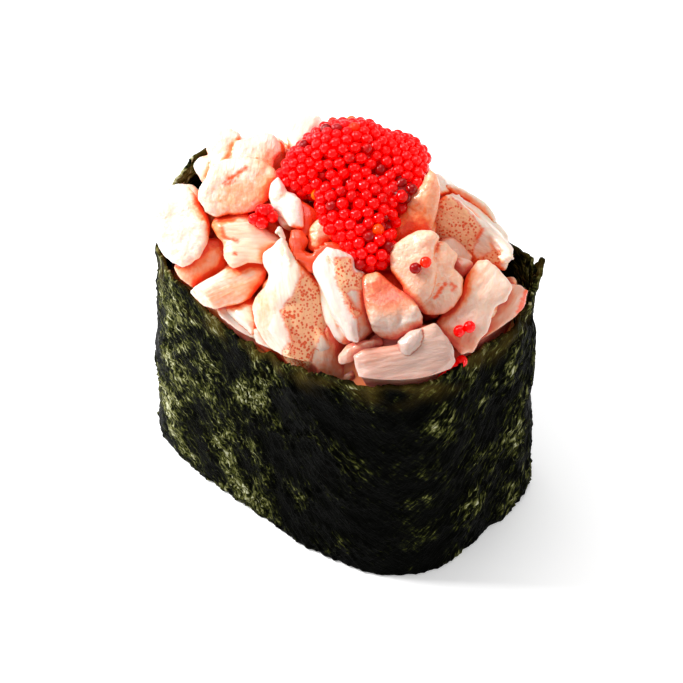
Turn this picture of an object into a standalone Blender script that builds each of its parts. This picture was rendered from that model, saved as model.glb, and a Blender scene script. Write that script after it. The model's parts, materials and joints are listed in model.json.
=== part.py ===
"""Gunkan sushi: a strip of seaweed wrapped round a block of rice and heaped with cut crab meat and fish roe.

Frame: metres, +Z up. The origin is on the underside, in the middle of the footprint. X runs along the roll and
Y across it. The seaweed strip laps over itself near the +X, +Y corner.
"""

import math

import bmesh
import bpy
import numpy as np
from mathutils import Euler, Vector, noise

MM = 0.001

# Driving dimensions of the roll.
ROLL_LENGTH = 51 * MM  # outside the seaweed, along X
ROLL_WIDTH = 35.5 * MM  # outside the seaweed, along Y
SQUARENESS = 3.1  # 2 would be an ellipse, and higher numbers are squarer
EGG_SHARE = 0.02  # how far the outline leans towards an egg shape
EGG_TURN = math.radians(126)
STRIP_HEIGHT = 33.8 * MM  # mean height of the seaweed strip
SHEET = 0.5 * MM  # thickness of the soft, crinkled sheet
GAP = 0.3 * MM  # left between pieces that touch
RICE_DEPTH = 20 * MM
MOUND_HEIGHT = 15.5 * MM  # how far the heap of meat stands above MOUND_FOOT
MOUND_FOOT = 33 * MM
MOUND_SHIFT = 2 * MM  # the heap's top lies this far behind the middle, along Y

# The strip is wound anticlockwise, seen from above. Its first edge is covered by its last one.
STRIP_START = math.radians(18)
STRIP_LAP = math.radians(20)
STRIP_COLUMNS = 76
STRIP_ROWS = 4
LAP_CLEARANCE = 0.1 * MM

# How the top edge of the strip rises and falls, as waves round the roll.
ENDS_RISE = 2.2 * MM
LEFT_RISE = 0.8 * MM
SWAY = 1.2 * MM
SWAY_TURN = math.radians(150)
BACK_DIP = 2.4 * MM
BACK_DIP_AT = math.radians(118)
BACK_DIP_SPREAD = math.radians(34)
BACK_LEAN = 2.0 * MM  # how far the strip leans in over the same stretch
SWELLS = (  # places where the edge stands up or dips: turn round the roll, height, and how far they spread
    (math.radians(42), 1.5 * MM, math.radians(20)),
    (math.radians(180), 1.5 * MM, math.radians(10)),
    (math.radians(208), -4.0 * MM, math.radians(15)),
)
END_LEAN = 0.9 * MM  # how far it leans in at the two ends
LAP_RISE = 0.9 * MM  # the free end stands a little higher


def polar(angle, radius, height):
    return Vector((radius * math.cos(angle), radius * math.sin(angle), height))


def outline_radius(angle):
    """Distance from the axis to the outer face of the seaweed, at the foot of the roll."""
    along = abs(math.cos(angle)) / (ROLL_LENGTH / 2)
    across = abs(math.sin(angle)) / (ROLL_WIDTH / 2)
    radius = (along**SQUARENESS + across**SQUARENESS) ** (-1 / SQUARENESS)
    return radius * (1 + EGG_SHARE * math.cos(3 * angle + EGG_TURN))


def back_share(angle):
    """1 in the middle of the stretch at the back that sags and leans in, falling to 0 on either side."""
    away = math.remainder(angle - BACK_DIP_AT, math.tau) / BACK_DIP_SPREAD
    return math.exp(-(away**2))


def rim_height(angle):
    height = STRIP_HEIGHT + ENDS_RISE * math.cos(2 * angle) - LEFT_RISE * math.cos(angle)
    height += SWAY * math.cos(3 * angle + SWAY_TURN)
    for at, rise, spread in SWELLS:
        height += rise * math.exp(-((math.remainder(angle - at, math.tau) / spread) ** 2))
    return height - BACK_DIP * back_share(angle)


def wall_radius(angle, height):
    """Outer face of the seaweed at a height: nearly upright, leaning in most over one stretch at the back."""
    lean = BACK_LEAN * back_share(angle) + END_LEAN * math.cos(angle) ** 2
    return outline_radius(angle) - lean * (height / STRIP_HEIGHT) ** 2


def smooth_step(share):
    share = min(max(share, 0.0), 1.0)
    return share * share * (3 - 2 * share)


def material(name, colour, roughness):
    made = bpy.data.materials.new(name)
    made.use_nodes = True
    shader = made.node_tree.nodes["Principled BSDF"]
    shader.inputs["Base Color"].default_value = (*colour, 1)
    shader.inputs["Roughness"].default_value = roughness
    return made


def add_object(name, points, faces, finish):
    mesh = bpy.data.meshes.new(name)
    mesh.from_pydata([tuple(p) for p in points], [], faces)
    mesh.materials.append(finish)
    made = bpy.data.objects.new(name, mesh)
    bpy.context.scene.collection.objects.link(made)
    return made


def hull(points):
    """Closed, outward-facing convex body round the points, as (points, faces)."""
    shape = bmesh.new()
    for point in points:
        shape.verts.new(point)
    bmesh.ops.remove_doubles(shape, verts=shape.verts[:], dist=0.12 * MM)
    made = bmesh.ops.convex_hull(shape, input=shape.verts[:])
    inside = {v for key in ("geom_interior", "geom_unused") for v in made[key] if isinstance(v, bmesh.types.BMVert)}
    bmesh.ops.delete(shape, geom=list(inside), context="VERTS")
    bmesh.ops.recalc_face_normals(shape, faces=shape.faces[:])
    if shape.calc_volume(signed=True) < 0:
        bmesh.ops.reverse_faces(shape, faces=shape.faces[:])
    shape.verts.index_update()
    corners = [v.co.copy() for v in shape.verts]
    faces = [[v.index for v in f.verts] for f in shape.faces]
    shape.free()
    return corners, faces


def cut(points, at, away):
    """The convex body of the points, without what lies beyond the plane through at, on its away side."""
    corners, faces = hull(points)
    shape = bmesh.new()
    verts = [shape.verts.new(c) for c in corners]
    for face in faces:
        shape.faces.new([verts[i] for i in face])
    every = shape.verts[:] + shape.edges[:] + shape.faces[:]
    bmesh.ops.bisect_plane(shape, geom=every, plane_co=at, plane_no=away, clear_outer=True)
    left = [v.co.copy() for v in shape.verts]
    shape.free()
    return left


# Seaweed band --------------------------------------------------------------------------------------------


def seaweed_band(finish):
    """One sheet wound once round the roll, with its last part lying over its first."""
    points = []
    turn = math.tau + STRIP_LAP
    for column in range(STRIP_COLUMNS + 1):
        wound = turn * column / STRIP_COLUMNS
        angle = STRIP_START + wound
        over = smooth_step((wound - math.tau + STRIP_LAP) / STRIP_LAP)
        top = rim_height(angle) + LAP_RISE * smooth_step((wound - math.tau) / STRIP_LAP)
        for depth in (0, SHEET):
            for row in range(STRIP_ROWS + 1):
                height = top * row / STRIP_ROWS
                radius = wall_radius(angle, height) + over * (SHEET + LAP_CLEARANCE) - depth
                points.append(polar(angle, radius, height))
    ring = 2 * (STRIP_ROWS + 1)
    section = [*range(STRIP_ROWS + 1), *range(ring - 1, STRIP_ROWS, -1)]
    faces = [section[::-1], [STRIP_COLUMNS * ring + i for i in section]]
    for column in range(STRIP_COLUMNS):
        for this, following in zip(section, section[1:] + section[:1]):
            low = column * ring
            faces.append([low + this, low + following, low + ring + following, low + ring + this])
    band = add_object("seaweed_band", points, faces, finish)
    shape = bmesh.new()
    shape.from_mesh(band.data)
    bmesh.ops.recalc_face_normals(shape, faces=shape.faces[:])
    bmesh.ops.triangulate(shape, faces=shape.faces[:])
    shape.to_mesh(band.data)
    shape.free()


# Rice ----------------------------------------------------------------------------------------------------

RICE_COLUMNS = 40
RICE_ROUNDING = 1.2 * MM  # the block's lower edge is rounded by the hand that pressed it


def rice_block(finish):
    """Pressed rice: flat underneath, rounded at its foot, a little uneven round its side and on top."""
    rings = ((RICE_ROUNDING, 0), (0.3 * RICE_ROUNDING, 0.3 * RICE_ROUNDING), (0, RICE_ROUNDING), (0, 0.5 * RICE_DEPTH))
    rings += ((0, RICE_DEPTH - RICE_ROUNDING), (RICE_ROUNDING, RICE_DEPTH))
    points = []
    for inset, height in rings:
        for column in range(RICE_COLUMNS):
            angle = math.tau * column / RICE_COLUMNS
            lump = 0.35 * MM * (1 + noise.noise(Vector((3 * math.cos(angle), 3 * math.sin(angle), 90 * height))))
            radius = wall_radius(angle, height) - SHEET - GAP - inset - lump
            points.append(polar(angle, radius, height))
    faces = [list(range(RICE_COLUMNS))[::-1]]
    for ring in range(len(rings) - 1):
        for column in range(RICE_COLUMNS):
            after = (column + 1) % RICE_COLUMNS
            low, high = ring * RICE_COLUMNS, (ring + 1) * RICE_COLUMNS
            faces.append([low + column, low + after, high + after, high + column])
    faces.append([(len(rings) - 1) * RICE_COLUMNS + column for column in range(RICE_COLUMNS)])
    add_object("rice_block", points, faces, finish)


# Crab meat -----------------------------------------------------------------------------------------------

BED_HEIGHT = 11.5 * MM  # the packed meat under the visible pieces stands this far above BED_FOOT
BED_FOOT = 27.5 * MM


def mound(share, foot, height):
    """Height of a heap's surface at a share of the way from its top to the seaweed."""
    return foot + height * max(0.0, 1 - share**2) ** 0.8


def mound_point(angle, share):
    """(point, outward normal) on the heap of meat."""
    radius = outline_radius(angle) * share
    height = mound(share, MOUND_FOOT, MOUND_HEIGHT)
    step = 0.02
    fall = (mound(share - step, MOUND_FOOT, MOUND_HEIGHT) - height) / (outline_radius(angle) * step)
    point = polar(angle, radius, height) + Vector((0, MOUND_SHIFT * (1 - share), 0))
    return point, Vector((fall * math.cos(angle), fall * math.sin(angle), 1)).normalized()


def meat_bed():
    """The meat packed down inside the seaweed, under the pieces that show."""
    points = []
    for column in range(32):
        angle = math.tau * column / 32
        side = wall_radius(angle, BED_FOOT) - SHEET - 2 * GAP
        for height in (RICE_DEPTH + GAP, BED_FOOT - 2 * MM):
            points.append(polar(angle, side, height))
        for share in (0.94, 0.8, 0.6, 0.4, 0.2):
            points.append(polar(angle, side * share, mound(share, BED_FOOT, BED_HEIGHT)))
    return points


def lobe(at, size, turn, square=3.0):
    """Points of a rounded, slightly lumpy block: its middle, its size and its turn (X, Y, Z) in mm and degrees."""
    middle, half = Vector(at) * MM, Vector(size) * MM / 2
    turned = Euler([math.radians(t) for t in turn], "XYZ").to_matrix()
    shape = bmesh.new()
    bmesh.ops.create_cube(shape, size=2)
    cuts = 3 if max(size) > 11 else 2
    bmesh.ops.subdivide_edges(shape, edges=shape.edges[:], cuts=cuts, use_grid_fill=True)
    points = []
    for vert in shape.verts:
        way = vert.co.normalized()
        reach = sum(abs(x) ** square for x in way) ** (-1 / square)
        reach *= 1 + 0.09 * noise.noise(1.7 * way + Vector(at))
        points.append(middle + turned @ Vector([w * reach * h for w, h in zip(way, half)]))
    shape.free()
    return points


def front_pieces():
    """Name and lobes of each piece of crab that shows at the front and sides. Earlier ones keep their shape best."""
    return {
        "crab_centre_log": [lobe((8.8, -10.2, 40.6), (13.4, 5.6, 6.4), (37, 34, -29), 3.8)],
        "crab_front_block": [lobe((18.2, -9.4, 36.6), (13.2, 8.8, 7.0), (53, -7, 42), 4.2)],
        "crab_right_slab": [
            lobe((20.2, 0.4, 38.0), (9.5, 6.8, 6.0), (44, -12, 107), 3.8),
            lobe((20.4, 3.6, 38.8), (8.0, 6.8, 5.6), (36, -10, 110), 3.6),
        ],
        "crab_speckled_log": [lobe((12.4, 10.0, 40.4), (12.2, 6.6, 6.8), (-12, 30, 16), 4.4)],
        "crab_speckled_block": [lobe((4.2, -11.9, 35.8), (16, 10.8, 9.4), (42, 31, -33), 3.8)],
        "crab_left_log": [lobe((-7.6, -12.4, 35.4), (12.4, 5.2, 6), (37, -36, 35), 2.8)],
        "crab_left_end": [
            lobe((-18.6, -10.5, 36.6), (10.6, 10.0, 8.4), (40, 14, -45), 2.5),
            lobe((-19.6, -11.2, 40.4), (8.6, 8.2, 4.9), (10, -6, -45), 2.5),
        ],
        "crab_crown": [
            lobe((-16.6, -2.8, 45.6), (6.4, 6.2, 6.0), (20, -20, -42), 2.2),
            lobe((-12.4, -0.6, 46.2), (7.2, 7.0, 6.4), (20, -20, -42), 2.2),
            lobe((-12.6, -5.0, 42.6), (11.2, 7.6, 8.0), (16, -32, 26), 2.4),
        ],
        "crab_mid_left": [
            lobe((-5.6, -7.6, 40.2), (9.6, 7.0, 7.4), (46, -17, 13), 2.6),
            lobe((-9.6, -9.6, 38.4), (6.0, 6.4, 6.0), (46, -17, 13), 2.4),
        ],
        "crab_pink_block": [lobe((13.7, -6.6, 40.2), (10.0, 7.4, 7.6), (25, 30, -12), 3.4)],
        "crab_front_flake": [lobe((17.6, -8.2, 41.6), (4.8, 3.6, 2.2), (36, -32, 86), 2.6)],
        "crab_right_block": [
            lobe((14.6, -1.4, 40.8), (9.6, 10.6, 8.6), (11, 33, 9), 2.7),
            lobe((17.0, -3.8, 39.4), (7.0, 7.0, 7.0), (24, 20, 30), 2.4),
        ],
        "crab_right_flap": [lobe((15.6, 3.0, 42.6), (5.6, 5.6, 3.2), (3, 33, 9), 3.4)],
        "crab_tall_slab": [lobe((8.6, 5.2, 44.6), (12.4, 6.0, 6.6), (-14, 16, -56), 2.8)],
        "crab_white_bit": [lobe((-3.6, -6.2, 45.0), (4.8, 3.6, 4), (28, 23, -38), 3.6)],
        "crab_peach_bit": [lobe((2.4, -5.8, 44.4), (4.6, 4.0, 4), (24, -27, 43), 2.2)],
        "crab_red_skin": [lobe((4.8, -8.4, 43.9), (4.6, 3.0, 2.2), (36, -9, 15), 2.6)],
        "crab_red_bit": [lobe((1.2, -8.8, 41.4), (6.4, 3.6, 4.0), (38, 26, -31), 2.6)],
        "crab_left_under": [lobe((-13.6, -11.4, 34.0), (8.4, 8.6, 8), (46, 20, -37), 2.6)],
        "crab_left_curl": [lobe((-4.9, -14.2, 32.6), (8.2, 4.6, 4.6), (24, 6, -20), 2.6)],
        "crab_left_bits": [lobe((-0.2, -14.4, 31.6), (5.4, 4.6, 5), (24, 10, -25), 2.4)],
        "crab_speckled_foot": [lobe((10.6, -12.6, 32.2), (7.4, 6.6, 7), (34, 40, -34), 3.0)],
        "crab_front_bits": [lobe((12.6, -12.2, 36.6), (5.2, 3.4, 3.6), (47, -24, 39), 2.6)],
        "crab_right_end": [lobe((22.2, 5.6, 36.0), (9.6, 5.0, 6), (-40, 18, -66), 3.0)],
        "crab_right_under": [lobe((20.6, -4.2, 32.6), (8, 5, 5), (50, 3, 84), 2.6)],
        "crab_behind_roe": [lobe((-11.0, 4.6, 46.4), (8.2, 4.4, 5), (-20, 13, 112), 3.0)],
        "crab_back_flake": [lobe((-20.2, 1.0, 39.4), (6.2, 5.2, 3.2), (10, -38, -30), 3.0)],
    }


# Two rows of pieces round the back of the heap: the turn round the roll, how far out they lie, and their size.
BACK_ROWS = (
    ((46, 66, 88, 108, 128, 150, 172), 0.74, (9.5, 8.0, 7.5)),
    ((62, 96, 130, 160), 0.46, (9.5, 8.5, 7.0)),
)


def back_pieces():
    """Pieces that cover the back of the heap, like those at the front: rounded blocks lying on its slope."""
    pieces = {}
    for turns, share, size in BACK_ROWS:
        for turn in turns:
            point, outward = mound_point(math.radians(turn), share)
            seed = noise.noise(Vector((0.13 * turn, 7 * share, 0)))
            leaning = outward.to_track_quat("Z", "X").to_euler("XYZ")
            swivel = Euler((leaning.x, leaning.y, leaning.z + math.radians(25 + 90 * seed)), "XYZ")
            middle = (point - 2.6 * MM * outward) / MM
            lengths = [s * (1 + 0.25 * seed * sign) for s, sign in zip(size, (1, -1, 0.5))]
            name = f"crab_back_{len(pieces) + 1:02d}"
            pieces[name] = [lobe(middle, lengths, [math.degrees(a) for a in swivel], 2.8 + seed)]
    return pieces


def roe_lobes():
    """The spoonful of roe: a wide heap on the crown and a tongue of it running down the front."""
    return [
        lobe((-5.6, 0.2, 47.8), (11.6, 10.6, 7.6), (2, -13, 10), 2.3),
        lobe((-2.6, 3.6, 49.2), (13.0, 12.0, 9.4), (-9, -8, 30), 2.2),
        lobe((3.8, 6.4, 47.6), (13.4, 10.6, 8.4), (-16, 12, -38), 2.3),
        lobe((3.0, -1.0, 47.6), (15.0, 11.4, 8.2), (5, 13, -40), 2.3),
        lobe((8.2, -4.5, 45.8), (9.0, 7.6, 6.4), (7, 26, -43), 2.4),
    ]


def directions(count):
    """Unit vectors spread evenly over a sphere, as rows."""
    index = np.arange(count) + 0.5
    height = 1 - 2 * index / count
    turn = math.pi * (1 + 5**0.5) * index
    flat = np.sqrt(1 - height**2)
    return np.stack([flat * np.cos(turn), flat * np.sin(turn), height], axis=1)


WAYS = directions(500)


def press(first, second, keep):
    """Parts two convex bodies that overlap, with one flat cut where they overlap least. keep is how much of the
    overlap the first body keeps."""
    a, b = np.array(first), np.array(second)
    overlap = (a @ WAYS.T).max(axis=0) - (b @ WAYS.T).min(axis=0)
    least = overlap.argmin()
    if overlap[least] <= -0.8 * GAP:
        return first, second
    way = Vector(WAYS[least])
    plane = (b @ WAYS[least]).min() + keep * max(overlap[least], 0)
    first = cut(first, way * (plane - GAP / 2), way)
    second = cut(second, way * (plane + GAP / 2), -way)
    return first, second


WALL_PLANES = 40
MIN_CLEARANCE = 0.2 * MM


def inside_wall(points):
    """Cuts off what would stand in the seaweed. A body that lies above the strip's edge may overhang it there."""
    for step in range(WALL_PLANES):
        angle = math.tau * step / WALL_PLANES
        beside = math.tau / WALL_PLANES / 2
        if min(p.z for p in points) > rim_height(angle) + GAP:
            continue
        left, right = (polar(a, wall_radius(a, rim_height(a)), 0) for a in (angle - beside, angle + beside))
        out = Vector((right.y - left.y, left.x - right.x, 0)).normalized()
        wall = left - out * (SHEET + GAP + MIN_CLEARANCE)
        if max((p - wall).dot(out) for p in points) > 0:
            points = cut(points, wall, out)
    return points


def settle(pieces, bed, roe):
    """Fits the lobes of all the pieces together, into the seaweed, on the bed of meat and under the roe."""
    names = list(pieces)
    for name in names:
        for i, body in enumerate(pieces[name]):
            body = inside_wall(body)
            pieces[name][i] = press(bed, body, 1.0)[1]
    for at, name in enumerate(names):
        for other in names[at + 1 :]:
            for i in range(len(pieces[name])):
                for j in range(len(pieces[other])):
                    fitted = press(pieces[name][i], pieces[other][j], 0.8)
                    pieces[name][i], pieces[other][j] = fitted
    for i in range(len(roe)):
        roe[i] = press(bed, roe[i], 1.0)[1]
        for name in names:
            for j in range(len(pieces[name])):
                roe[i], pieces[name][j] = press(roe[i], pieces[name][j], 0.55)


def join_lobes(name, lobes, finish):
    """One object from convex lobes that overlap each other."""
    first, *others = [hull(points) for points in lobes]
    made = add_object(name, *first, finish)
    for number, (points, faces) in enumerate(others):
        helper = add_object(f"{name}_lobe_{number}", points, faces, finish)
        helper.hide_render = True
        helper.display_type = "WIRE"
        joined = made.modifiers.new(f"lobe {number}", "BOOLEAN")
        joined.operation = "UNION"
        joined.solver = "EXACT"
        joined.object = helper


def main():
    for old in list(bpy.data.objects):
        bpy.data.objects.remove(old, do_unlink=True)
    seaweed_band(material("seaweed", (0.02, 0.03, 0.012), 0.4))
    rice_block(material("rice", (0.86, 0.84, 0.78), 0.5))
    flesh = material("crab meat", (0.92, 0.72, 0.62), 0.35)
    egg_red = material("roe", (0.8, 0.02, 0.01), 0.15)
    bed, roe = meat_bed(), roe_lobes()
    pieces = {**front_pieces(), **back_pieces()}
    settle(pieces, bed, roe)
    add_object("crab_bed", *hull(bed), flesh)
    for name, lobes in pieces.items():
        join_lobes(name, lobes, flesh)
    join_lobes("roe_heap", roe, egg_red)


main()
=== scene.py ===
"""Looks of a gunkan sushi: a seaweed strip round pressed rice, heaped with crab meat and flying-fish roe."""

import json
import math
import random

import bpy
import numpy as np
from mathutils import Euler, Matrix, Vector, bvhtree, kdtree, noise

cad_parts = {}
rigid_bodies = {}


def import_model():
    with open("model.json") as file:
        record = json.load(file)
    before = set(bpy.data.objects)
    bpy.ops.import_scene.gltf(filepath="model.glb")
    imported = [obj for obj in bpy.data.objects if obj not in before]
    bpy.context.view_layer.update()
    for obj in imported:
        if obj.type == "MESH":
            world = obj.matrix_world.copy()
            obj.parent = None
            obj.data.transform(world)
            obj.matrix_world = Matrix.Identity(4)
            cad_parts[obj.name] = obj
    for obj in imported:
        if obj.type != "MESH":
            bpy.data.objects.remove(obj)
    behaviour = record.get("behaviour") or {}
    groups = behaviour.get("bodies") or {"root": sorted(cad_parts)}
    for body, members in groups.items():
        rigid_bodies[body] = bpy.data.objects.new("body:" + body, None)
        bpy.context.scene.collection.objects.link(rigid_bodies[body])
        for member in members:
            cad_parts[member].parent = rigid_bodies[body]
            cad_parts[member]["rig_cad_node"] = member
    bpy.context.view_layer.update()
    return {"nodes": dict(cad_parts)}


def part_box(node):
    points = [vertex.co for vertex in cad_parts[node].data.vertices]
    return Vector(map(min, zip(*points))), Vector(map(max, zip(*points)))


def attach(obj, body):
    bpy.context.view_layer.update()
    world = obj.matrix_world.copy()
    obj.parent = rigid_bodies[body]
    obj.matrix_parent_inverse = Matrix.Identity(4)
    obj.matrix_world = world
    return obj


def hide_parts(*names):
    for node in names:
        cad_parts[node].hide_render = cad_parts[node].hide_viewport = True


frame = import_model()
bpy.ops.object.select_all(action="DESELECT")

# --- Rice ------------------------------------------------------------------------------------------------
# Vinegared short-grain rice, pressed by hand into a block with a flat underside. Only the underside shows, so
# single grains are pressed into the foot of a plain core of the same stuff.

MM = 0.001


def select_only(piece):
    bpy.ops.object.select_all(action="DESELECT")
    piece.select_set(True)
    bpy.context.view_layer.objects.active = piece


def edit_all():
    bpy.ops.object.mode_set(mode="EDIT")
    bpy.ops.mesh.select_all(action="SELECT")


def start_from(node, name):
    """A new piece that starts as a copy of a CAD node, with its loose triangles merged."""
    piece = frame["nodes"][node].copy()
    piece.data = piece.data.copy()
    piece.name = piece.data.name = name
    piece.parent = None
    del piece["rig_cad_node"]
    piece.data.materials.clear()
    bpy.context.collection.objects.link(piece)
    select_only(piece)
    edit_all()
    bpy.ops.mesh.remove_doubles(threshold=1e-6)
    bpy.ops.object.mode_set(mode="OBJECT")
    return piece


def placed(name, data):
    """A new object in the scene, made of this data."""
    made = bpy.data.objects.new(name, data)
    bpy.context.collection.objects.link(made)
    return made


def points_of(piece):
    return np.array([v.co for v in piece.data.vertices])


def work(piece, kind, **settings):
    """Adds a modifier with these settings and applies it."""
    select_only(piece)
    modifier = piece.modifiers.new(kind.title(), kind)
    for key, value in settings.items():
        setattr(modifier, key, value)
    bpy.ops.object.modifier_apply(modifier=modifier.name)


def shader_of(material):
    """The material's nodes, links and Principled shader."""
    material.use_nodes = True
    tree = material.node_tree
    return tree.nodes, tree.links, tree.nodes["Principled BSDF"]


def laid_out(kind, scale):
    """A pattern that lies still on the object."""
    place = nodes.new("ShaderNodeTexCoord")
    made = nodes.new(kind)
    made.inputs["Scale"].default_value = scale
    links.new(place.outputs["Object"], made.inputs["Vector"])
    return made


def clouds(scale, detail=2):
    made = laid_out("ShaderNodeTexNoise", scale)
    made.inputs["Detail"].default_value = detail
    return made.outputs["Fac"]


def ramp(factor, *stops):
    """Colours by value. Each stop is a value and its colour, from the lowest to the highest."""
    made = nodes.new("ShaderNodeValToRGB")
    for element, (at, colour) in zip(made.color_ramp.elements, (stops[0], stops[-1])):
        element.position = at
        element.color = (*colour, 1)
    for at, colour in stops[1:-1]:
        made.color_ramp.elements.new(at).color = (*colour, 1)
    links.new(factor, made.inputs["Fac"])
    return made.outputs["Color"]


def scatter(name, shape, places):
    """One mesh of copies of a shape. Each place is a 4 x 4 matrix."""
    corners = points_of(shape)
    faces = np.array([p.vertices for p in shape.data.polygons if len(p.vertices) == 3])
    points = []
    for place in places:
        grid = np.array(place)
        points.append(corners @ grid[:3, :3].T + grid[:3, 3])
    count = len(corners)
    triangles = np.concatenate([faces + count * i for i in range(len(places))])
    mesh = bpy.data.meshes.new(name)
    mesh.from_pydata(np.concatenate(points).tolist(), [], triangles.tolist())
    piece = placed(name, mesh)
    bpy.data.objects.remove(shape)
    select_only(piece)
    bpy.ops.object.shade_smooth()
    return piece


rice_low, rice_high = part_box("rice_block")
grain_size = Vector((5.4, 2.5, 2.2)) * MM
grain_spacing = 3.0 * MM
row_spacing = 0.866 * grain_spacing
rim_room = 1.8 * MM  # left free of grains along the edge
squareness = 3.1  # power of the rounded oblong that rice and seaweed follow

rice_white = bpy.data.materials.new("vinegared rice")
nodes, links, shader = shader_of(rice_white)
shader.inputs["Roughness"].default_value = 0.32
shader.inputs["Subsurface Weight"].default_value = 0.3
shader.inputs["Subsurface Radius"].default_value = (1.0, 0.8, 0.6)
shader.inputs["Subsurface Scale"].default_value = 1.2 * MM
tint = ramp(clouds(420), (0, (0.72, 0.68, 0.58)), (1, (0.92, 0.91, 0.86)))
links.new(tint, shader.inputs["Base Color"])

rice_core = start_from("rice_block", "rice_core")
work(rice_core, "REMESH", mode="VOXEL", voxel_size=0.8 * MM)
rice_lumps = bpy.data.textures.new("rice lumps", "CLOUDS")
rice_lumps.noise_scale = 2.2 * MM
work(rice_core, "DISPLACE", texture=rice_lumps, texture_coords="LOCAL", strength=-0.9 * MM, mid_level=0)
edit_all()
bpy.ops.transform.translate(value=(0, 0, 0.8 * MM))
bpy.ops.object.mode_set(mode="OBJECT")
bpy.ops.object.shade_smooth()
rice_core.data.materials.append(rice_white)
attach(rice_core, "root")
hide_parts("rice_block")

bpy.ops.mesh.primitive_uv_sphere_add(segments=9, ring_count=7, radius=0.5)
grain = bpy.context.object
bpy.ops.object.mode_set(mode="EDIT")
bpy.ops.transform.resize(value=grain_size, center_override=(0, 0, 0))
bpy.ops.mesh.quads_convert_to_tris()
bpy.ops.object.mode_set(mode="OBJECT")
for vert in grain.data.vertices:
    vert.co.y += 0.3 * MM * (2 * vert.co.x / grain_size.x) ** 2
hand = random.Random(3)
grain_places = []
outline_half = (rice_high - rice_low) / 2
rows = math.ceil(outline_half.y / row_spacing)
for row in range(-rows, rows + 1):
    for column in range(-9, 10):
        x = (column + 0.5 * (row % 2)) * grain_spacing + hand.uniform(-0.5, 0.5) * MM
        y = row * row_spacing + hand.uniform(-0.5, 0.5) * MM
        along, across = abs(x) / (outline_half.x - rim_room), abs(y) / (outline_half.y - rim_room)
        if along**squareness + across**squareness < 1:
            lying = Euler((hand.uniform(-0.2, 0.2), hand.uniform(-0.25, 0.25), hand.uniform(0, math.pi)))
            size = Matrix.Diagonal([hand.uniform(0.88, 1.1) for _ in range(3)]).to_4x4()
            spot = Matrix.Translation((x, y, hand.uniform(0.8, 1.5) * MM))
            grain_places.append(spot @ lying.to_matrix().to_4x4() @ size)
rice_grains = scatter("rice_grains", grain, grain_places)
for vert in rice_grains.data.vertices:
    vert.co.z = max(vert.co.z, 0.02 * MM)
rice_grains.data.materials.append(rice_white)
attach(rice_grains, "root")

# --- Seaweed strip ---------------------------------------------------------------------------------------
# Toasted nori: one sheet of felted algae, wound once round the roll and lapped over its own start. The damp
# rice and meat have made it cling and crinkle, and its cut edges are a little ragged.

strip_columns, strip_rows = 440, 90
strip_start, strip_lap = math.radians(18), math.radians(20)
strip_height = 33.8 * MM
sheet = 0.42 * MM
roll_half = Vector((25.5, 17.75)) * MM
swells = ((43, 2.1, 18), (180, 2.8, 15), (210, -4.0, 13), (142, -1.8, 16))  # degrees, rise in mm, spread


def ripple(x, y, z):
    """Smooth noise, from -1 to 1."""
    return noise.noise(Vector((x, y, z)))


def near(angle, degrees, spread):
    """One at this place round the roll, and less further off, over this spread in degrees."""
    away = math.remainder(angle - math.radians(degrees), math.tau) / math.radians(spread)
    return math.exp(-(away**2))


def strip_outline(angle):
    """Outer radius of the seaweed at the foot of the roll."""
    along, across = abs(math.cos(angle)) / roll_half.x, abs(math.sin(angle)) / roll_half.y
    oblong = (along**squareness + across**squareness) ** (-1 / squareness)
    return oblong * (1 + 0.02 * math.cos(3 * angle + math.radians(126)))


def strip_top(angle):
    """Height of the strip's upper edge."""
    waves = 2.2 * math.cos(2 * angle) - 0.8 * math.cos(angle) + 1.2 * math.cos(3 * angle + math.radians(150))
    return strip_height + MM * (waves + sum(rise * near(angle, at, spread) for at, rise, spread in swells))


def inward_lean(angle):
    """How far in mm the strip leans inwards at its full height."""
    return 2.0 * near(angle, 118, 34) + 0.9 * math.cos(angle) ** 2


def streaks(along, up, tilt, length, width, seed):
    """Ridges drawn out along a tilted direction on the sheet, from 0 to 1, sharp on top."""
    turn = math.radians(tilt)
    lengthways = (along * math.cos(turn) + up * math.sin(turn)) / length
    sideways = (up * math.cos(turn) - along * math.sin(turn)) / width
    bend = 0.9 * ripple(0.35 * lengthways, 0.22 * sideways, seed + 9)
    return (1 - abs(ripple(lengthways, sideways + 1.6 * bend, seed))) ** 5


def put_attribute(piece, name, values):
    """Gives each point of a piece a number, or a row of three."""
    values = np.asarray(values, np.float32)
    kind, field = ("FLOAT", "value") if values.ndim == 1 else ("FLOAT_VECTOR", "vector")
    piece.data.attributes.new(name, kind, "POINT").data.foreach_set(field, values.ravel())


def ease(share):
    """The share, kept between 0 and 1 and eased in and out."""
    share = min(max(share, 0), 1)
    return share * share * (3 - 2 * share)


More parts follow.
